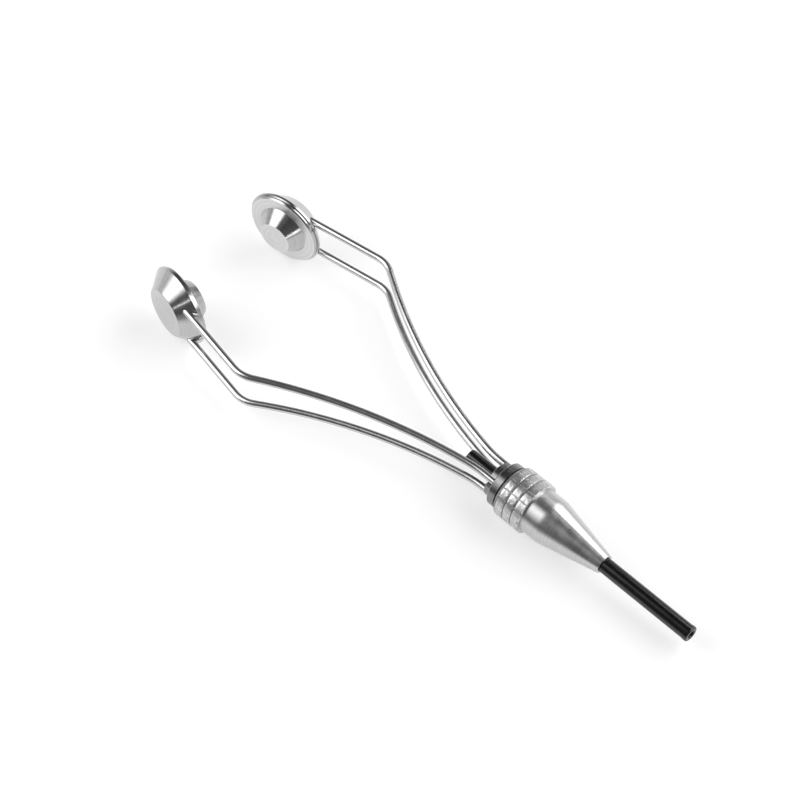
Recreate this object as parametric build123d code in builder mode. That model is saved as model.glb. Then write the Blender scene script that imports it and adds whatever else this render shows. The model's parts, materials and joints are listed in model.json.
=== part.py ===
"""Bobbin holder for fly tying.

A spool of thread sits between the feet of two sprung wire arms. Its thread runs forward through
a slim tube, which a collet inside the nose grips at the length that the tyer likes.

Sizes are in millimetres. The origin is the centre of the tube's front mouth, +X points out of
that mouth, +Z is up, and the arms spread along Y, with the left arm at +Y.
"""

import os
from math import cos, radians, sin

from build123d import *

# Thread tube
tube_bore = 1.3
tube_wall = 0.65
tube_length = 46.0
tube_reach = 17.55
tube_lip_length = 0.75
tube_lip_rise = 0.05
tube_lip_round = 0.26
tube_rear_round = 0.12

# Fits and running gaps, all radial except where named an end gap
guide_clearance = 0.06
grip_clearance = 0.02
taper_clearance = 0.05
thread_clearance = 0.05
press_gap = 0.01
swing_clearance = 0.12

# Nose, a hollow cone that screws onto the core and closes the collet
nose_edge = 0.28
nose_edge_round = 0.08
nose_cone_length = 10.95
nose_barrel_length = 3.1
nose_break_round = 4.0
skirt_wall = 0.45
skirt_step = 0.25
skirt_recess = 0.1
chamber_lead = 1.3

# Collet, split from the front
collet_setback = 3.2
collet_end_gap = 0.2
collet_front_wall = 0.3
collet_rear_wall = 1.25
collet_heel_seat = 1.25
collet_heel_stand = 0.25
collet_band = 1.2
collet_slot_width = 0.5
collet_slot_count = 3

# Threaded core, a sleeve fixed in the collar
core_step = 0.65
core_end_gap = 0.05
core_chamfer = 0.2

# Grip ring, pressed on the nose's skirt
ring_length = 5.45
ring_wall = 0.8
ring_front_chamfer = 0.15
ring_rear_chamfer = 0.5
ring_groove_count = 2
ring_groove_width = 0.25
ring_groove_depth = 0.2
flute_count = 16
flute_depth = 0.13

# Collar and its boss, which hold the arm wires
collar_end_gap = 0.3
collar_wall = 0.7
collar_length = 1.45
collar_chamfer = 0.2
core_seat_depth = 0.7
boss_cover = 0.53
boss_length = 1.3
boss_chamfer = 0.15
socket_web = 0.61

# Arm wires, each bent in one plane that leans up and out
wire_diameter = 1.2
wire_clock = 45.7
wire_end_gap = 0.15
wire_pitch = 0.65
wire_roll = 4.5
root_lead = 0.8
ease_radius = 21.0
ease_angle = 10.5
flare_radius = 99.0
flare_angle = 21.5
elbow_radius = 5.0
elbow_angle = 41.5
wire_end_length = 18.2

# Feet, each a conical cap that takes the wire ends and a spool seat pressed into it
rim_diameter = 14.0
face_diameter = 8.74
face_round = 0.15
cap_depth = 3.1
cap_edge = 0.35
rim_round = 0.1
wire_setback = 1.45
seat_step = 0.25
seat_thickness = 0.6
seat_chamfer = 0.2
hub_base_diameter = 9.2
hub_tip_diameter = 5.85
hub_height = 2.35
hub_round = 0.12
stem_diameter = 3.0
stem_length = 2.0
stem_end_gap = 0.1

# Radii, built outward from the thread bore
bore_r = tube_bore / 2
tube_r = bore_r + tube_wall
guide_r = tube_r + guide_clearance
collet_front_r = tube_r + collet_front_wall
collet_rear_r = tube_r + collet_rear_wall
core_r = collet_rear_r + core_step
thread_r = core_r + thread_clearance
skirt_r = thread_r + skirt_wall
nose_r = skirt_r + skirt_step
nose_tip_r = guide_r + nose_edge
ring_r = skirt_r + ring_wall
collar_r = core_r + collar_wall
wire_r = wire_diameter / 2
socket_r = wire_r + swing_clearance
wire_circle_r = guide_r + socket_web + wire_r
boss_r = wire_circle_r + boss_cover
wire_y = wire_circle_r * cos(radians(wire_clock))
wire_z = wire_circle_r * sin(radians(wire_clock))
rim_r = rim_diameter / 2
seat_r = rim_r - seat_step
stem_r = stem_diameter / 2

# Stations along X, from the nose's front edge rearward
nose_front_x = -tube_reach
nose_break_x = nose_front_x - nose_cone_length
shoulder_x = nose_break_x - nose_barrel_length
ring_rear_x = shoulder_x - ring_length
skirt_rear_x = ring_rear_x + skirt_recess
collar_front_x = ring_rear_x - collar_end_gap
collar_rear_x = collar_front_x - collar_length
boss_rear_x = collar_rear_x - boss_length
core_rear_x = collar_front_x - core_seat_depth
collet_front_x = nose_front_x - collet_setback
chamber_x = nose_break_x + chamber_lead
taper_end_x = chamber_x + collet_heel_seat
collet_rear_x = chamber_x - collet_heel_stand
core_front_x = collet_rear_x - core_end_gap
wire_front_x = core_rear_x - wire_end_gap

sides = {"left": 1, "right": -1}
levels = {"upper": 1, "lower": -1}


def keep(piece, name):
    """Label a finished piece and write it as its own file."""
    piece.part.label = name
    export_step(piece.part, f"parts/{name}.step")


def wire_line(side, level):
    """Centre line of one arm wire, from its front end in the collar to its rear end in the foot."""
    rearward = Vector(-cos(radians(wire_pitch)), 0, level * sin(radians(wire_pitch)))
    outward = Vector(0, side * cos(radians(wire_roll)), level * sin(radians(wire_roll)))
    exit_point = (boss_rear_x, side * wire_y, level * wire_z)
    with BuildLine(Plane(exit_point, x_dir=rearward, z_dir=rearward.cross(outward))) as path:
        root = Line((boss_rear_x - wire_front_x, 0), (root_lead, 0))
        ease = JernArc(root @ 1, root % 1, ease_radius, ease_angle)
        flare = JernArc(ease @ 1, ease % 1, flare_radius, flare_angle)
        elbow = JernArc(flare @ 1, flare % 1, elbow_radius, -elbow_angle)
        Line(elbow @ 1, elbow @ 1 + elbow % 1 * wire_end_length)
    return path.line


def foot_plane(side):
    """Plane through a foot's axis: origin on the parting face of cap and seat, local x inward."""
    line = wire_line(side, levels["upper"])
    wire_end = line @ 1
    along = line % 1
    inward = Vector(-along.Y, along.X, 0).normalized() * side
    centre = Vector(wire_end.X, wire_end.Y, 0) + inward * wire_setback
    return Plane(centre, x_dir=inward, z_dir=(0, 0, 1))


os.makedirs("parts", exist_ok=True)

# Thread tube, with a flared and rounded front lip
with BuildPart() as thread_tube:
    with BuildSketch(Plane.XZ) as tube_half:
        with BuildLine():
            Polyline(
                (0, bore_r),
                (0, tube_r + tube_lip_rise),
                (-tube_lip_length, tube_r + tube_lip_rise),
                (-tube_lip_length - tube_lip_rise, tube_r),
                (-tube_length, tube_r),
                (-tube_length, bore_r),
                close=True,
            )
        make_face()
        fillet(tube_half.vertices().group_by(Axis.X)[-1], min(tube_lip_round, 0.4 * tube_wall))
        fillet(tube_half.vertices().group_by(Axis.X)[0], min(tube_rear_round, 0.4 * tube_wall))
    revolve(axis=Axis.X)
keep(thread_tube, "thread_tube")

# Collet, a tapered sleeve whose fingers close on the tube
with BuildPart() as tube_collet:
    with BuildSketch(Plane.XZ):
        with BuildLine():
            Polyline(
                (collet_front_x, tube_r + grip_clearance),
                (collet_front_x, collet_front_r),
                (taper_end_x, collet_rear_r),
                (collet_rear_x, collet_rear_r),
                (collet_rear_x, tube_r + grip_clearance),
                close=True,
            )
        make_face()
    revolve(axis=Axis.X)
    with BuildSketch(Plane.YZ.offset(collet_front_x)):
        with PolarLocations(0, collet_slot_count):
            Rectangle(2 * collet_rear_r, collet_slot_width, align=(Align.MIN, Align.CENTER))
    extrude(amount=collet_rear_x + collet_band - collet_front_x, mode=Mode.SUBTRACT)
keep(tube_collet, "tube_collet")

# Nose, hollow for the tube, the collet and the core's thread
with BuildPart() as nose_cone:
    with BuildSketch(Plane.XZ) as nose_half:
        with BuildLine():
            Polyline(
                (nose_front_x, guide_r),
                (nose_front_x, nose_tip_r),
                (nose_break_x, nose_r),
                (shoulder_x, nose_r),
                (shoulder_x, skirt_r),
                (skirt_rear_x, skirt_r),
                (skirt_rear_x, thread_r),
                (chamber_x, thread_r),
                (chamber_x, collet_rear_r + taper_clearance),
                (taper_end_x, collet_rear_r + taper_clearance),
                (collet_front_x + collet_end_gap, collet_front_r + taper_clearance),
                (collet_front_x + collet_end_gap, guide_r),
                close=True,
            )
        make_face()
        nose_corners = nose_half.vertices()
        fillet(nose_corners.sort_by_distance((nose_break_x, nose_r))[0], nose_break_round)
        fillet(nose_corners.sort_by_distance((nose_front_x, nose_tip_r))[0], nose_edge_round)
    revolve(axis=Axis.X)
keep(nose_cone, "nose_cone")

# Grip ring, with turned grooves between its bands and flutes along it
with BuildPart() as grip_ring:
    with BuildSketch(Plane.XZ) as ring_half:
        with BuildLine():
            Polyline(
                (shoulder_x, skirt_r + press_gap),
                (shoulder_x, ring_r),
                (ring_rear_x, ring_r),
                (ring_rear_x, skirt_r + press_gap),
                close=True,
            )
        make_face()
        ring_corners = ring_half.vertices()
        chamfer(ring_corners.sort_by_distance((shoulder_x, ring_r))[0], ring_front_chamfer)
        chamfer(ring_corners.sort_by_distance((ring_rear_x, ring_r))[0], ring_rear_chamfer)
        band_pitch = (ring_length - ring_rear_chamfer) / (ring_groove_count + 1)
        with Locations(*[(shoulder_x - band_pitch * (i + 1), ring_r) for i in range(ring_groove_count)]):
            Rectangle(ring_groove_width, 2 * ring_groove_depth, mode=Mode.SUBTRACT)
    revolve(axis=Axis.X)
    with BuildSketch(Plane.YZ.offset(ring_rear_x)):
        with PolarLocations(ring_r, flute_count, start_angle=180 / flute_count):
            Rectangle(2**0.5 * flute_depth, 2**0.5 * flute_depth, rotation=45)
    extrude(amount=ring_length, mode=Mode.SUBTRACT)
keep(grip_ring, "grip_ring")

# Threaded core, which joins the collar to the nose and backs the collet
with BuildPart() as threaded_core:
    with BuildSketch(Plane.XZ) as core_half:
        with BuildLine():
            Polyline(
                (core_front_x, guide_r),
                (core_front_x, core_r),
                (core_rear_x + press_gap, core_r),
                (core_rear_x + press_gap, guide_r),
                close=True,
            )
        make_face()
        core_corners = core_half.vertices()
        chamfer(core_corners.sort_by_distance((core_front_x, core_r))[0], core_chamfer)
    revolve(axis=Axis.X)
keep(threaded_core, "threaded_core")

# Collar, bored for the tube and the core, with a notched boss for the wires
with BuildPart() as arm_collar:
    with BuildSketch(Plane.XZ) as collar_half:
        with BuildLine():
            Polyline(
                (collar_front_x, core_r + press_gap),
                (collar_front_x, collar_r),
                (collar_rear_x, collar_r),
                (collar_rear_x, boss_r),
                (boss_rear_x, boss_r),
                (boss_rear_x, guide_r),
                (core_rear_x, guide_r),
                (core_rear_x, core_r + press_gap),
                close=True,
            )
        make_face()
        collar_corners = collar_half.vertices()
        chamfer(collar_corners.sort_by_distance((collar_rear_x, collar_r))[0], collar_chamfer)
        chamfer(collar_corners.sort_by_distance((boss_rear_x, boss_r))[0], boss_chamfer)
    revolve(axis=Axis.X)
    with BuildSketch(Plane.YZ.offset(boss_rear_x)):
        with Locations(*[(s * wire_y, v * wire_z) for s in sides.values() for v in levels.values()]):
            Circle(socket_r)
    extrude(amount=core_rear_x - boss_rear_x, mode=Mode.SUBTRACT)
    with BuildSketch(Plane.YZ.offset(boss_rear_x)):
        for side in sides.values():
            outward_edge = (Align.MIN if side > 0 else Align.MAX, Align.CENTER)
            with Locations(*[(side * wire_y, v * wire_z) for v in levels.values()]):
                Rectangle(boss_r, 2 * socket_r, align=outward_edge)
    extrude(amount=boss_length, mode=Mode.SUBTRACT)
keep(arm_collar, "arm_collar")

for side_name, side in sides.items():
    # Spring wires of one arm
    for level_name, level in levels.items():
        wire_path = wire_line(side, level)
        with BuildPart() as arm_wire:
            with BuildSketch(Plane(wire_path @ 0, z_dir=wire_path % 0)):
                Circle(wire_r)
            sweep(path=wire_path)
        keep(arm_wire, f"{side_name}_{level_name}_wire")

    foot = foot_plane(side)
    foot_axis = Axis(foot.origin, foot.x_dir)

    # Conical cap, drilled for the wire ends and the seat's stem
    with BuildPart() as foot_cap:
        with BuildSketch(foot) as cap_half:
            with BuildLine():
                Polyline(
                    (-cap_depth, 0),
                    (-cap_depth, face_diameter / 2),
                    (-cap_edge, rim_r),
                    (0, rim_r),
                    (0, stem_r + press_gap),
                    (-stem_length - stem_end_gap, stem_r + press_gap),
                    (-stem_length - stem_end_gap, 0),
                    close=True,
                )
            make_face()
            cap_corners = cap_half.vertices()
            fillet(cap_corners.sort_by_distance((-cap_depth, face_diameter / 2))[0], face_round)
            fillet(cap_corners.sort_by_distance((0, rim_r))[0], rim_round)
        revolve(axis=foot_axis)
        for level in levels.values():
            wire_path = wire_line(side, level)
            with BuildSketch(Plane(wire_path @ 1 + wire_path % 1 * press_gap, z_dir=wire_path % 1 * -1)):
                Circle(wire_r + press_gap)
            extrude(amount=rim_diameter, mode=Mode.SUBTRACT)
    keep(foot_cap, f"{side_name}_foot_cap")

    # Spool seat, a flange with a conical hub inside and a stem in the cap
    with BuildPart() as spool_seat:
        with BuildSketch(foot) as seat_half:
            with BuildLine():
                Polyline(
                    (-stem_length, 0),
                    (-stem_length, stem_r),
                    (press_gap, stem_r),
                    (press_gap, seat_r),
                    (seat_thickness, seat_r),
                    (seat_thickness, hub_base_diameter / 2),
                    (seat_thickness + hub_height, hub_tip_diameter / 2),
                    (seat_thickness + hub_height, 0),
                    close=True,
                )
            make_face()
            seat_corners = seat_half.vertices()
            hub_corner = (seat_thickness + hub_height, hub_tip_diameter / 2)
            chamfer(seat_corners.sort_by_distance((seat_thickness, seat_r))[0], seat_chamfer)
            fillet(seat_corners.sort_by_distance(hub_corner)[0], hub_round)
        revolve(axis=foot_axis)
    keep(spool_seat, f"{side_name}_spool_seat")
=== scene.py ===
"""Looks of a fly-tying bobbin holder: its metals, its ceramic tube and a white photo table."""

import json
from math import atan2, cos, pi, radians, sin

import bpy
from bpy.props import FloatProperty, FloatVectorProperty, IntProperty, PointerProperty
from mathutils import Matrix, Vector


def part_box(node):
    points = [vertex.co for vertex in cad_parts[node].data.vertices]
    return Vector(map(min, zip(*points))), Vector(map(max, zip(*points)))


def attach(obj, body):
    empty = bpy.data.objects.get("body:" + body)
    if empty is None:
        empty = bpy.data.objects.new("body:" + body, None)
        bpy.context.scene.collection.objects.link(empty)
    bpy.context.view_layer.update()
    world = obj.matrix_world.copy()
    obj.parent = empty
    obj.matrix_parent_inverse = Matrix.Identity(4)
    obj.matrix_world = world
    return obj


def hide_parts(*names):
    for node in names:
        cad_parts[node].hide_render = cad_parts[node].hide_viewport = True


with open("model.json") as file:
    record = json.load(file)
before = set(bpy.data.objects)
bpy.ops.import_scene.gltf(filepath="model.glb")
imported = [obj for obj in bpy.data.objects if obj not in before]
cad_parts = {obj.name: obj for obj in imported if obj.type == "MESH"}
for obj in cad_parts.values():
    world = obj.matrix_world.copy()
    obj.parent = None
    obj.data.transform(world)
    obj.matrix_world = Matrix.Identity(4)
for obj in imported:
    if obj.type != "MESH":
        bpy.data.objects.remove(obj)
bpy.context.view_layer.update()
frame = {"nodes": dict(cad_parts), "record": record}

bl_info = {
    "name": "Bobbin holder looks",
    "version": (1, 0, 0),
    "blender": (4, 5, 0),
    "location": "View3D > Sidebar > Bobbin holder",
    "description": "Dresses the bobbin holder's parts and sets up its photo table",
    "category": "Object",
}

MM = 0.001
SIDES = ("left", "right")
LEVELS = ("upper", "lower")

# A point on the body's lathe axis, and the axis
TOOL_AXIS = ((0, 0, 0), (1, 0, 0))

# Section across a groove of the grip ring: shares of its half width, and how deep it is there
GROOVE_SECTION = ((-1, 0.5), (-0.4, 1), (0.4, 1), (1, 0.5))

# How deep it is in the middle of the rounding between a groove's mouth and a pad
EDGE_DEPTH = 0.06

# Values between which a noise texture mostly stays
NOISE_LOW, NOISE_HIGH = 0.3, 0.7

# Sockets that share their names with others: a Mix node's two colours and its result, and the limits of a
# Map Range node that works on vectors
MIX_LOW, MIX_HIGH, MIX_RESULT = 6, 7, 2
FROM_LOW, FROM_HIGH, TO_LOW, TO_HIGH = 7, 8, 9, 10


def linear(colour):
    """Linear red, green and blue of an sRGB hex colour."""
    parts = [int(colour[i : i + 2], 16) / 255 for i in (1, 3, 5)]
    return [p / 12.92 if p <= 0.04045 else ((p + 0.055) / 1.055) ** 2.4 for p in parts]


def colour_property(name, colour, description):
    """A colour that a user can change, from its sRGB hex default."""
    return FloatVectorProperty(
        name=name, description=description, subtype="COLOR", size=3, min=0, max=1, default=linear(colour)
    )


def length_property(name, length, description):
    """A length that a user can change, from its default in millimetres."""
    return FloatProperty(
        name=name, description=description, default=length * MM, min=0, unit="LENGTH", precision=5
    )


def angle_property(name, angle, description):
    """An angle that a user can change, from its default in degrees."""
    return FloatProperty(name=name, description=description, default=radians(angle), subtype="ANGLE")


def share_property(name, share, description):
    """A share between 0 and 1 that a user can change."""
    return FloatProperty(name=name, description=description, default=share, min=0, max=1, subtype="FACTOR")


class FinishSettings(bpy.types.PropertyGroup):
    """Colours and grain of the holder's finishes."""

    steel: colour_property("Turned steel", "#c8c8c8", "Colour of the satin turned stainless steel")
    # Painted shade: the caps' and seats' cones are darker than their flat faces, for the shaded table they
    # reflect
    cap: colour_property("Cap steel", "#bcbcbc", "Colour of the foot caps' cones")
    face: colour_property("Seat face steel", "#d6d6d6", "Colour of the spool seats' flat faces")
    cone: colour_property("Seat cone steel", "#b8b8b8", "Colour of the spool seats' cones")
    ring: colour_property("Ring steel", "#dcdcdc", "Colour of the grip ring's polished spots")
    ring_dents: colour_property("Ring dents", "#b6b6b6", "Colour of the grip ring's dents")
    # Painted shade: the darker colour that the grip ring's grooves get in place of the shade in them
    groove: colour_property("Groove steel", "#b0b0b0", "Colour of the duller steel in the ring's grooves")
    # Much darker than the nose's steel
    collar: colour_property("Collar steel", "#888888", "Colour of the collar's dull steel")
    wire: colour_property("Spring wire", "#cccccc", "Colour of the polished spring wire")
    ceramic: colour_property("Ceramic", "#080809", "Colour of the black ceramic tube")
    brass: colour_property("Brass", "#d0a860", "Colour of the hidden collet")
    feed: length_property("Turning feed", 0.22, "Spacing at which the lathe tool's marks are drawn")


class RingSettings(bpy.types.PropertyGroup):
    """Shape of the grip ring's pads."""

    wall: length_property("Wall", 0.79, "From the ring's bore to its pads")
    front_chamfer: length_property("Front chamfer", 0.15, "Bevel at the ring's front edge")
    rear_chamfer: length_property("Rear chamfer", 0.5, "Bevel at the ring's rear edge")
    grooves: IntProperty(name="Grooves", description="Turned grooves round the ring", default=2, min=1)
    groove_width: length_property("Groove width", 0.2, "Width of a turned groove")
    groove_depth: length_property("Groove depth", 0.2, "Depth of a turned groove")
    flutes: IntProperty(name="Flutes", description="Cuts along the ring", default=16, min=3)
    flute_width: length_property("Flute width", 0.2, "Width of a cut at its mouth")
    flute_depth: length_property("Flute depth", 0.13, "Depth of a cut")
    edge: length_property("Pad edge", 0.03, "Rounding of the pads' edges")


class StageSettings(bpy.types.PropertyGroup):
    """Camera and table of the photo."""

    azimuth: angle_property("Azimuth", 43.90, "Camera's turn about the vertical")
    elevation: angle_property("Elevation", 53.65, "Camera's height above the horizon")
    roll: angle_property("Roll", 1.14, "Camera's lean")
    distance: length_property("Distance", 405.8, "From the camera to its target")
    target: FloatVectorProperty(
        name="Target",
        description="Point in the middle of the picture",
        default=(-61.41 * MM, -0.04 * MM, 0),
        subtype="TRANSLATION",
        unit="LENGTH",
    )
    lens: FloatProperty(name="Lens", description="Focal length in mm", default=114.47)
    sensor: FloatProperty(name="Sensor", description="Width of the camera's sensor in mm", default=36)
    table: colour_property("Table", "#ffffff", "Colour of the photo table")
    glow: share_property("Table glow", 0.54, "Share of the table's white that shadows leave")
    matt: share_property("Table matt", 0.53, "Share of the lamps' light that the table sends back")


def add_node(tree, kind, inputs=None, **settings):
    """Add a node: settings are its attributes, inputs its sockets' values or the sockets they link from."""
    node = tree.nodes.new(kind)
    for name, value in settings.items():
        setattr(node, name, value)
    for name, value in (inputs or {}).items():
        if isinstance(value, bpy.types.NodeSocket):
            tree.links.new(value, node.inputs[name])
        else:
            node.inputs[name].default_value = value
    return node


def new_material(name):
    """An empty node material, and its tree."""
    material = bpy.data.materials.new(name)
    material.use_nodes = True
    material.node_tree.nodes.clear()
    return material, material.node_tree


def mottled(tree, place, size, low, high):
    """Slow patches of handling wear, from low to high, of about the given size."""
    noise = add_node(tree, "ShaderNodeTexNoise", {"Vector": place, "Scale": 1 / size, "Detail": 3.0})
    return add_node(
        tree,
        "ShaderNodeMapRange",
        {
            "Value": noise.outputs["Fac"],
            "From Min": NOISE_LOW,
            "From Max": NOISE_HIGH,
            "To Min": low,
            "To Max": high,
        },
    ).outputs["Result"]


def turned_metal(name, lathe, colour, face, roughness, drag, depth):
    """Metal off a lathe.

    The tool's fine marks run round the axis, so highlights stay crisp round the piece and smear across the
    marks. Barrels and cones can take a darker colour than flat faces: painted shade, for the shaded table
    that they reflect. Handling leaves slightly duller patches.
    """
    # How far a surface faces along the axis: a cone up to the first share, a flat face from the second
    cone_facing, face_facing = 0.75, 0.97
    mark_dark, mark_bright = 0.91, 1.06
    patch_size, patch_spread = 1.2 * MM, 0.15

    finish = bpy.context.scene.bobbin_finish
    axis_point, axis = lathe
    material, tree = new_material(name)
    coordinates = add_node(tree, "ShaderNodeTexCoord").outputs
    place = coordinates["Object"]
    offset = add_node(
        tree, "ShaderNodeVectorMath", {0: place, 1: axis_point}, operation="SUBTRACT"
    ).outputs[0]
    along = add_node(
        tree, "ShaderNodeVectorMath", {0: offset, 1: axis}, operation="DOT_PRODUCT"
    ).outputs["Value"]
    round_way = add_node(
        tree, "ShaderNodeVectorMath", {0: axis, 1: offset}, operation="CROSS_PRODUCT"
    ).outputs[0]
    radius = add_node(tree, "ShaderNodeVectorMath", {0: round_way}, operation="LENGTH").outputs["Value"]
    facing = add_node(
        tree, "ShaderNodeVectorMath", {0: coordinates["Normal"], 1: axis}, operation="DOT_PRODUCT"
    ).outputs["Value"]
    facing = add_node(tree, "ShaderNodeMath", {0: facing}, operation="ABSOLUTE").outputs[0]
    flat = add_node(
        tree, "ShaderNodeMapRange", {"Value": facing, "From Min": cone_facing, "From Max": face_facing}
    ).outputs["Result"]

    # The tool travels along the axis on a barrel, and across the radius on a face, where its marks lie
    # further apart. The real feed is too fine to show, so all marks are drawn coarser.
    face_share = 0.6
    travel = add_node(
        tree, "ShaderNodeMath", {0: radius, 1: face_share, 2: along}, operation="MULTIPLY_ADD"
    ).outputs[0]
    marks = add_node(
        tree,
        "ShaderNodeTexNoise",
        {"W": travel, "Scale": 1 / finish.feed, "Detail": 2.0, "Roughness": 0.6},
        noise_dimensions="1D",
    ).outputs["Fac"]
    shade = add_node(
        tree,
        "ShaderNodeMapRange",
        {
            "Value": marks,
            "From Min": NOISE_LOW,
            "From Max": NOISE_HIGH,
            "To Min": mark_dark,
            "To Max": mark_bright,
        },
    ).outputs["Result"]
    # Painted shade: barrels and cones take the first colour, which on the feet is darker than the flat faces'
    tone_with_painted_shade = add_node(
        tree,
        "ShaderNodeMix",
        {"Factor": flat, MIX_LOW: (*colour, 1), MIX_HIGH: (*face, 1)},
        data_type="RGBA",
    ).outputs[MIX_RESULT]
    tone_with_painted_shade = add_node(tree, "ShaderNodeVectorMath", {0: tone_with_painted_shade, "Scale": shade}, operation="SCALE").outputs[0]
    bump = add_node(tree, "ShaderNodeBump", {"Height": marks, "Strength": 1.0, "Distance": depth})
    tangent = add_node(
        tree,
        "ShaderNodeVectorTransform",
        {0: round_way},
        vector_type="VECTOR",
        convert_from="OBJECT",
        convert_to="WORLD",
    )
    low, high = (1 - patch_spread) * roughness, (1 + patch_spread) * roughness
    shader = add_node(
        tree,
        "ShaderNodeBsdfPrincipled",
        {
            "Base Color": tone_with_painted_shade,
            "Metallic": 1.0,
            "Roughness": mottled(tree, place, patch_size, low, high),
            "Anisotropic": drag,
            "Anisotropic Rotation": 0.25,
            "Tangent": tangent.outputs[0],
            "Normal": bump.outputs["Normal"],
        },
    )
    add_node(tree, "ShaderNodeOutputMaterial", {"Surface": shader.outputs[0]})
    return material


def knurled_steel(outer, front):
    """Stainless steel pressed by a knurling wheel: dented pads that glint in patches, grooves in painted
    shade.
    """
    finish = bpy.context.scene.bobbin_finish
    ring = bpy.context.scene.bobbin_ring
    dent_size, dent_depth = 0.45 * MM, 0.05 * MM
    glint_size, patch_size = 0.35 * MM, 0.6 * MM
    shiny, dull = 0.29, 0.42
    groove_bottom = outer - 0.9 * ring.flute_depth
    groove_mouth = outer - 0.4 * ring.flute_depth
    bevel = front - ring.front_chamfer
    bevel_blend = 0.2 * ring.front_chamfer

    material, tree = new_material("knurled_stainless_ring")
    place = add_node(tree, "ShaderNodeTexCoord").outputs["Object"]
    dents = add_node(
        tree, "ShaderNodeTexNoise", {"Vector": place, "Scale": 1 / dent_size, "Detail": 3.0, "Roughness": 0.6}
    )
    bump = add_node(
        tree, "ShaderNodeBump", {"Height": dents.outputs["Fac"], "Strength": 1.0, "Distance": dent_depth}
    )
    pads = add_node(
        tree,
        "ShaderNodeMix",
        {
            "Factor": mottled(tree, place, glint_size, 0.0, 1.0),
            MIX_LOW: (*finish.ring_dents, 1),
            MIX_HIGH: (*finish.ring, 1),
        },
        data_type="RGBA",
    ).outputs[MIX_RESULT]

    # Painted shade: the grooves lie deeper than the pads, and get a darker colour in place of the shade in
    # them.
    # The front bevel lies deeper too, but keeps the pads' colour.
    across = add_node(tree, "ShaderNodeVectorMath", {0: place, 1: (0, 1, 1)}, operation="MULTIPLY").outputs[0]
    radius = add_node(tree, "ShaderNodeVectorMath", {0: across}, operation="LENGTH").outputs["Value"]
    along = add_node(tree, "ShaderNodeSeparateXYZ", {0: place}).outputs["X"]
    proud = add_node(
        tree, "ShaderNodeMapRange", {"Value": radius, "From Min": groove_bottom, "From Max": groove_mouth}
    ).outputs["Result"]
    bevelled = add_node(
        tree, "ShaderNodeMapRange", {"Value": along, "From Min": bevel - bevel_blend, "From Max": bevel}
    ).outputs["Result"]
    bright = add_node(tree, "ShaderNodeMath", {0: proud, 1: bevelled}, operation="MAXIMUM").outputs[0]
    tone_with_painted_shade = add_node(
        tree,
        "ShaderNodeMix",
        {"Factor": bright, MIX_LOW: (*finish.groove, 1), MIX_HIGH: pads},
        data_type="RGBA",
    ).outputs[MIX_RESULT]
    shader = add_node(
        tree,
        "ShaderNodeBsdfPrincipled",
        {
            "Base Color": tone_with_painted_shade,
            "Metallic": 1.0,
            "Roughness": mottled(tree, place, patch_size, shiny, dull),
            "Normal": bump.outputs["Normal"],
        },
    )
    add_node(tree, "ShaderNodeOutputMaterial", {"Surface": shader.outputs[0]})
    return material


def polished_wire():
    """Drawn and polished stainless spring wire: bright, soft reflections, a little duller where handled."""
    finish = bpy.context.scene.bobbin_finish
    patch_size = 1.5 * MM
    shiny, dull = 0.18, 0.26
    material, tree = new_material("polished_stainless_spring_wire")
    place = add_node(tree, "ShaderNodeTexCoord").outputs["Object"]
    shader = add_node(
        tree,
        "ShaderNodeBsdfPrincipled",
        {
            "Base Color": (*finish.wire, 1),
            "Metallic": 1.0,
            "Roughness": mottled(tree, place, patch_size, shiny, dull),
        },
    )
    add_node(tree, "ShaderNodeOutputMaterial", {"Surface": shader.outputs[0]})
    return material


def black_ceramic():
    """Black alumina ceramic, ground and polished: deep black, with soft reflections of bright things.

    Solid alumina has an IOR of about 1.76. The tube reflects a little less, so its IOR is matched lower.
    """
    finish = bpy.context.scene.bobbin_finish
    patch_size = 0.9 * MM
    shiny, dull = 0.15, 0.24
    material, tree = new_material("polished_black_alumina_ceramic")
    place = add_node(tree, "ShaderNodeTexCoord").outputs["Object"]
    shader = add_node(
        tree,
        "ShaderNodeBsdfPrincipled",
        {
            "Base Color": (*finish.ceramic, 1),
            "Roughness": mottled(tree, place, patch_size, shiny, dull),
            "IOR": 1.6,
        },
    )
    add_node(tree, "ShaderNodeOutputMaterial", {"Surface": shader.outputs[0]})
    return material


def dress(node, material):
    """Give a CAD node its finish."""
    mesh = frame["nodes"][node].data
    mesh.materials.clear()
    mesh.materials.append(material)


class BOBBIN_OT_dress_tube(bpy.types.Operator):
    """Give the thread tube its black ceramic"""

    bl_idname = "bobbin.dress_tube"
    bl_label = "Dress thread tube"

    def execute(self, context):
        dress("thread_tube", black_ceramic())
        return {"FINISHED"}


class BOBBIN_OT_dress_nose(bpy.types.Operator):
    """Give the nose, the collar and what they hold their turned metals"""

    bl_idname = "bobbin.dress_nose"
    bl_label = "Dress nose and collar"

    def execute(self, context):
        finish = context.scene.bobbin_finish
        satin = turned_metal(
            "satin_turned_stainless_nose",
            TOOL_AXIS,
            colour=finish.steel,
            face=finish.steel,
            roughness=0.32,
            drag=0.6,
            depth=0.002 * MM,
        )
        # The collar and the core get the collar's darker colour
        dull = turned_metal(
            "dark_turned_steel_collar",
            TOOL_AXIS,
            colour=finish.collar,
            face=finish.collar,
            roughness=0.24,
            drag=0.4,
            depth=0.001 * MM,
        )
        brass = turned_metal(
            "turned_brass_collet",
            TOOL_AXIS,
            colour=finish.brass,
            face=finish.brass,
            roughness=0.3,
            drag=0.4,
            depth=0.002 * MM,
        )
        dress("nose_cone", satin)
        dress("arm_collar", dull)
        dress("threaded_core", dull)
        dress("tube_collet", brass)
        return {"FINISHED"}


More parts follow.
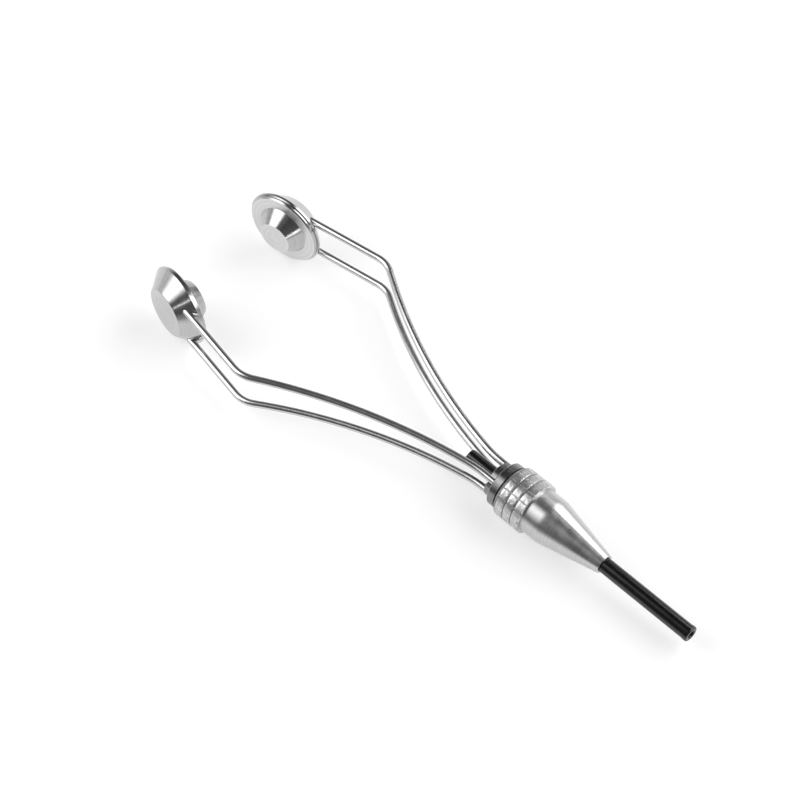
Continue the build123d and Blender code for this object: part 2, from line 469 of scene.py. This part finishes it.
def pad_stations(start, length, count, width, edge, fill):
    """Places along a row of pads and how deep the surface lies there, from 0 on a pad to 1 in a groove.

    The grooves' mouths are rounded by edge, and each pad has fill places between its edges.
    """
    pitch = length / count
    half = width / 2
    flat = pitch - width - 4 * edge
    places = []
    for i in range(count):
        middle = start + i * pitch
        places += [(middle + share * half, depth) for share, depth in GROOVE_SECTION]
        places.append((middle + half + edge, EDGE_DEPTH))
        places += [(middle + half + 2 * edge + flat * k / (fill + 1), 0) for k in range(fill + 2)]
        places.append((middle + pitch - half - edge, EDGE_DEPTH))
    return places


def ring_section(ring, rear, front, outer):
    """Half section of the grip ring: places along it, their radii, and 1 where flutes reach or 0 at the bore.

    It runs from the bore's rear edge outward, forward over the pads and back to the bore's front edge.
    """
    bore = outer - ring.wall
    pads = front - rear - ring.rear_chamfer
    # The rear bevel stops short of the first groove
    bevel_share = 0.9
    section = [
        (rear, bore, 0),
        (rear, outer - ring.rear_chamfer, 1),
        (rear + bevel_share * ring.rear_chamfer, outer - (1 - bevel_share) * ring.rear_chamfer, 1),
    ]
    row = pad_stations(front - pads, pads, ring.grooves + 1, ring.groove_width, ring.edge, fill=3)
    for x, depth in row:
        if rear + ring.rear_chamfer + ring.edge < x < front - ring.front_chamfer - ring.edge:
            section.append((x, outer - depth * ring.groove_depth, 1))
    section += [
        (front - ring.front_chamfer, outer, 1),
        (front, outer - ring.front_chamfer, 1),
        (front, bore, 0),
    ]
    return section


class BOBBIN_OT_build_ring(bpy.types.Operator):
    """Build the grip ring with its rounded pads, in place of the plain one"""

    bl_idname = "bobbin.build_ring"
    bl_label = "Build grip ring"

    def execute(self, context):
        ring = context.scene.bobbin_ring
        low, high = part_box("grip_ring")
        rear, front, outer = low.x, high.x, high.z
        section = ring_section(ring, rear, front, outer)
        turn = 2 * pi
        first = -turn / ring.flutes / 2
        width, edge = ring.flute_width / outer, ring.edge / outer
        clock = pad_stations(first, turn, ring.flutes, width, edge, fill=6)

        verts = []
        for angle, depth in clock:
            for x, radius, fluted in section:
                cut = radius - fluted * max(0, depth * ring.flute_depth - (outer - radius))
                verts.append((x, cut * cos(angle), cut * sin(angle)))
        rows, columns = len(clock), len(section)
        faces = []
        for row in range(rows):
            here, ahead = row * columns, (row + 1) % rows * columns
            for column in range(columns):
                after = (column + 1) % columns
                faces.append((here + column, here + after, ahead + after, ahead + column))

        sharp_angle = radians(38)
        mesh = bpy.data.meshes.new("knurled_grip_ring")
        mesh.from_pydata(verts, [], faces)
        mesh.validate()
        mesh.shade_smooth()
        mesh.set_sharp_from_angle(angle=sharp_angle)
        mesh.materials.append(knurled_steel(outer, front))
        piece = bpy.data.objects.new("knurled_grip_ring", mesh)
        context.scene.collection.objects.link(piece)
        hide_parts("grip_ring")
        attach(piece, "nose")
        return {"FINISHED"}


class BOBBIN_OT_dress_wires(bpy.types.Operator):
    """Give the arms' wires their polish"""

    bl_idname = "bobbin.dress_wires"
    bl_label = "Dress arm wires"

    def execute(self, context):
        polish = polished_wire()
        for side in SIDES:
            for level in LEVELS:
                dress(f"{side}_{level}_wire", polish)
        return {"FINISHED"}


class BOBBIN_OT_dress_feet(bpy.types.Operator):
    """Give both feet their fine turned caps and polished seats"""

    bl_idname = "bobbin.dress_feet"
    bl_label = "Dress feet"

    def execute(self, context):
        finish = context.scene.bobbin_finish
        mounts = {mount["name"]: mount for mount in frame["record"]["mounts"]}
        for side in SIDES:
            hub = mounts[f"{side}_spool_hub"]
            lathe = (hub["pos_m"], hub["axis"])
            cap = turned_metal(
                f"fine_turned_stainless_{side}_cap",
                lathe,
                colour=finish.cap,
                face=finish.steel,
                roughness=0.18,
                drag=0.0,
                depth=0.0007 * MM,
            )
            seat = turned_metal(
                f"polished_stainless_{side}_seat",
                lathe,
                colour=finish.cone,
                face=finish.face,
                roughness=0.2,
                drag=0.8,
                depth=0.0003 * MM,
            )
            dress(f"{side}_foot_cap", cap)
            dress(f"{side}_spool_seat", seat)
        return {"FINISHED"}


def soft_box(name, azimuth, elevation, distance, size, brightness, target, lean=0, fade=0.01):
    """A rectangular lamp of that brightness, facing the target from a bearing and a height in degrees.

    It fades out toward its edges, over the given share of its width and of its height at each side.
    """
    bearing, height = radians(azimuth), radians(elevation)
    away = Vector((cos(bearing) * cos(height), sin(bearing) * cos(height), sin(height)))
    data = bpy.data.lights.new(name, "AREA")
    data.shape = "RECTANGLE"
    data.size, data.size_y = size
    data.energy = brightness * pi * size[0] * size[1]
    data.use_nodes = True
    tree = data.node_tree
    tree.nodes.clear()

    # The lamp's face runs from 0 to 1 both ways, so its edges lie half of that from its middle
    half = 0.5
    spot = add_node(tree, "ShaderNodeNewGeometry").outputs["Parametric"]
    offset = add_node(
        tree, "ShaderNodeVectorMath", {0: spot, 1: (half, half, 0)}, operation="SUBTRACT"
    ).outputs[0]
    offset = add_node(tree, "ShaderNodeVectorMath", {0: offset}, operation="ABSOLUTE").outputs[0]
    inward = add_node(
        tree,
        "ShaderNodeMapRange",
        {
            "Vector": offset,
            FROM_LOW: (half - fade,) * 3,
            FROM_HIGH: (half,) * 3,
            TO_LOW: (1, 1, 1),
            TO_HIGH: (0, 0, 0),
        },
        data_type="FLOAT_VECTOR",
    ).outputs["Vector"]
    shares = add_node(tree, "ShaderNodeSeparateXYZ", {0: inward}).outputs
    share = add_node(
        tree, "ShaderNodeMath", {0: shares["X"], 1: shares["Y"]}, operation="MULTIPLY"
    ).outputs[0]
    glow = add_node(tree, "ShaderNodeEmission", {"Strength": share}).outputs[0]
    add_node(tree, "ShaderNodeOutputLight", {"Surface": glow})

    lamp = bpy.data.objects.new(name, data)
    bpy.context.scene.collection.objects.link(lamp)
    place = Matrix.Translation(target + away * distance)
    facing = (-away).to_track_quat("-Z", "Y").to_matrix().to_4x4()
    lamp.matrix_world = place @ facing @ Matrix.Rotation(radians(lean), 4, "Z")


def white_acrylic(stage):
    """White acrylic sheet: the camera and the metal see its glow, and its matt face takes the shadows.

    A dark cloth hangs over its near edge, which only the metal sees. Far from the tool, where the lamps no
    longer reach, the camera sees the table as white as its backdrop.
    """
    cloth_way, cloth_dark = (0.25, -0.97, 0), 0.7
    cloth_start, cloth_end = 33 * MM, 63 * MM
    backdrop_start, backdrop_end = 160 * MM, 360 * MM

    material, tree = new_material("white_acrylic_table")
    place = add_node(tree, "ShaderNodeTexCoord").outputs["Object"]
    ray = add_node(tree, "ShaderNodeLightPath").outputs
    nearer = add_node(
        tree, "ShaderNodeVectorMath", {0: place, 1: cloth_way}, operation="DOT_PRODUCT"
    ).outputs["Value"]
    cloth = add_node(
        tree,
        "ShaderNodeMapRange",
        {
            "Value": nearer,
            "From Min": cloth_start,
            "From Max": cloth_end,
            "To Min": 0.0,
            "To Max": cloth_dark,
        },
    ).outputs["Result"]
    hidden = add_node(
        tree, "ShaderNodeMath", {0: cloth, 1: ray["Is Glossy Ray"]}, operation="MULTIPLY"
    ).outputs[0]
    bare = add_node(tree, "ShaderNodeMath", {0: 1.0, 1: hidden}, operation="SUBTRACT").outputs[0]
    seen = add_node(
        tree, "ShaderNodeMath", {0: ray["Is Camera Ray"], 1: ray["Is Glossy Ray"]}, operation="MAXIMUM"
    ).outputs[0]
    seen = add_node(
        tree, "ShaderNodeMath", {0: seen, 1: ray["Is Transmission Ray"]}, operation="MAXIMUM"
    ).outputs[0]
    shown = add_node(tree, "ShaderNodeMath", {0: seen, 1: bare}, operation="MULTIPLY").outputs[0]
    lit = add_node(tree, "ShaderNodeMath", {0: shown, 1: stage.glow}, operation="MULTIPLY").outputs[0]
    reached = add_node(tree, "ShaderNodeVectorMath", {0: place}, operation="LENGTH").outputs["Value"]
    backdrop = add_node(
        tree, "ShaderNodeMapRange", {"Value": reached, "From Min": backdrop_start, "From Max": backdrop_end}
    ).outputs["Result"]
    backdrop = add_node(
        tree, "ShaderNodeMath", {0: backdrop, 1: ray["Is Camera Ray"]}, operation="MULTIPLY"
    ).outputs[0]
    lit = add_node(tree, "ShaderNodeMath", {0: lit, 1: backdrop}, operation="MAXIMUM").outputs[0]
    grey = add_node(tree, "ShaderNodeMath", {0: bare, 1: stage.matt}, operation="MULTIPLY").outputs[0]
    matt = add_node(tree, "ShaderNodeBsdfDiffuse", {"Color": grey})
    glow = add_node(tree, "ShaderNodeEmission", {"Color": (*stage.table, 1), "Strength": lit})
    sheet = add_node(tree, "ShaderNodeAddShader", {0: matt.outputs[0], 1: glow.outputs[0]})
    add_node(tree, "ShaderNodeOutputMaterial", {"Surface": sheet.outputs[0]})
    return material


def lay_table(stage):
    """The white table under the tool, which lies on its feet's rims and on its grip ring."""
    foot_low, foot_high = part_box("left_foot_cap")
    ring_low, ring_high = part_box("grip_ring")
    rear = Vector(((foot_low.x + foot_high.x) / 2, 0, foot_low.z))
    front = Vector(((ring_low.x + ring_high.x) / 2, 0, ring_low.z))
    slope = atan2(front.z - rear.z, front.x - rear.x)
    reach = 3.0
    corners = [(-reach, -reach, 0), (reach, -reach, 0), (reach, reach, 0), (-reach, reach, 0)]
    mesh = bpy.data.meshes.new("photo_table")
    mesh.from_pydata(corners, [], [(0, 1, 2, 3)])
    mesh.materials.append(white_acrylic(stage))
    table = bpy.data.objects.new("photo_table", mesh)
    bpy.context.scene.collection.objects.link(table)
    table.matrix_world = Matrix.Translation(rear) @ Matrix.Rotation(-slope, 4, "Y")


def dim_room():
    """The room round the table: pale walls low down, a dim ceiling, and dark behind the camera."""
    wall_light, ceiling_light = 0.85, 0.09
    # Sine of the height at which the walls have faded into the ceiling
    wall_top = 0.55
    # Bearing of the dark side, cosines of the angles from it between which the walls darken, and what is left
    dark_bearing = radians(-70)
    dark_start, dark_full, dark_light = 0.1, 0.75, 0.03

    world = bpy.data.worlds.new("studio_room")
    bpy.context.scene.world = world
    world.use_nodes = True
    room = world.node_tree
    room.nodes.clear()
    way = add_node(room, "ShaderNodeTexCoord").outputs["Generated"]
    height = add_node(room, "ShaderNodeSeparateXYZ", {0: way}).outputs["Z"]
    dark_way = (cos(dark_bearing), sin(dark_bearing), 0)
    toward_dark = add_node(
        room, "ShaderNodeVectorMath", {0: way, 1: dark_way}, operation="DOT_PRODUCT"
    ).outputs["Value"]
    wall = add_node(
        room,
        "ShaderNodeMapRange",
        {"Value": height, "From Min": 0.0, "From Max": wall_top, "To Min": wall_light, "To Max": 0.0},
    ).outputs["Result"]
    share = add_node(
        room,
        "ShaderNodeMapRange",
        {
            "Value": toward_dark,
            "From Min": dark_start,
            "From Max": dark_full,
            "To Min": 1.0,
            "To Max": dark_light,
        },
    ).outputs["Result"]
    level = add_node(
        room, "ShaderNodeMath", {0: wall, 1: share, 2: ceiling_light}, operation="MULTIPLY_ADD"
    ).outputs[0]

    # The camera itself sees the room as white as the table
    seen = add_node(room, "ShaderNodeLightPath").outputs["Is Camera Ray"]
    shown = add_node(room, "ShaderNodeMath", {0: level, 1: seen}, operation="MAXIMUM").outputs[0]
    sky = add_node(room, "ShaderNodeBackground", {"Color": (1, 1, 1, 1), "Strength": shown})
    add_node(room, "ShaderNodeOutputWorld", {"Surface": sky.outputs[0]})


def set_camera(stage):
    """The camera above the tool's right side."""
    turn, height = stage.azimuth, stage.elevation
    back = Vector((sin(turn) * cos(height), -cos(turn) * cos(height), sin(height)))
    data = bpy.data.cameras.new("photo_camera")
    data.lens = stage.lens
    data.sensor_width = stage.sensor
    data.clip_start = 10 * MM
    camera = bpy.data.objects.new("photo_camera", data)
    bpy.context.scene.collection.objects.link(camera)
    place = Matrix.Translation(Vector(stage.target) + back * stage.distance)
    facing = (-back).to_track_quat("-Z", "Y").to_matrix().to_4x4()
    camera.matrix_world = place @ facing @ Matrix.Rotation(stage.roll, 4, "Z")
    bpy.context.scene.camera = camera


class BOBBIN_OT_build_stage(bpy.types.Operator):
    """Lay the photo table, hang the lamps and set the camera"""

    bl_idname = "bobbin.build_stage"
    bl_label = "Build photo table"

    def execute(self, context):
        stage = context.scene.bobbin_stage
        target = Vector(stage.target)
        lay_table(stage)
        dim_room()

        # Large soft boxes at the picture's left and right
        soft_box(
            "left_soft_box",
            azimuth=-137,
            elevation=38.5,
            distance=0.30,
            size=(0.265, 0.38),
            brightness=4.2,
            target=target,
            lean=14,
            fade=0.35,
        )
        soft_box(
            "right_soft_box",
            azimuth=53.5,
            elevation=43,
            distance=0.40,
            size=(0.58, 0.31),
            brightness=3.0,
            target=target,
            lean=-9,
        )

        # Small lamps that draw a glint on each foot, and a pale card that lifts the nose's dark side
        low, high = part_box("right_foot_cap")
        soft_box(
            "near_glint",
            azimuth=-86,
            elevation=18.3,
            distance=0.1,
            size=(0.0047, 0.0047),
            brightness=6.0,
            target=(low + high) / 2,
        )
        soft_box(
            "far_glint",
            azimuth=-25,
            elevation=7,
            distance=0.6,
            size=(0.034, 0.13),
            brightness=9.0,
            target=target,
        )
        soft_box(
            "pale_card",
            azimuth=-90,
            elevation=53,
            distance=0.5,
            size=(0.2, 0.2),
            brightness=0.1,
            target=target,
        )
        set_camera(stage)
        context.scene.view_settings.view_transform = "Standard"
        return {"FINISHED"}


class BOBBIN_PT_looks(bpy.types.Panel):
    """The holder's operators, in the order that builds the whole scene"""

    bl_label = "Bobbin holder"
    bl_space_type = "VIEW_3D"
    bl_region_type = "UI"
    bl_category = "Bobbin holder"

    def draw(self, context):
        for step in STEPS:
            self.layout.operator(step.bl_idname)


STEPS = (
    BOBBIN_OT_dress_tube,
    BOBBIN_OT_dress_nose,
    BOBBIN_OT_build_ring,
    BOBBIN_OT_dress_wires,
    BOBBIN_OT_dress_feet,
    BOBBIN_OT_build_stage,
)
CLASSES = (FinishSettings, RingSettings, StageSettings, *STEPS, BOBBIN_PT_looks)


def register():
    """Add the classes and their settings to Blender."""
    for cls in CLASSES:
        bpy.utils.register_class(cls)
    bpy.types.Scene.bobbin_finish = PointerProperty(type=FinishSettings)
    bpy.types.Scene.bobbin_ring = PointerProperty(type=RingSettings)
    bpy.types.Scene.bobbin_stage = PointerProperty(type=StageSettings)


def unregister():
    """Take the settings and the classes out of Blender again."""
    del bpy.types.Scene.bobbin_stage
    del bpy.types.Scene.bobbin_ring
    del bpy.types.Scene.bobbin_finish
    for cls in reversed(CLASSES):
        bpy.utils.unregister_class(cls)


def main():
    """Dress the parts and build the stage."""
    register()
    for step in STEPS:
        group, name = step.bl_idname.split(".")
        getattr(getattr(bpy.ops, group), name)()


if __name__ == "__main__":
    main()
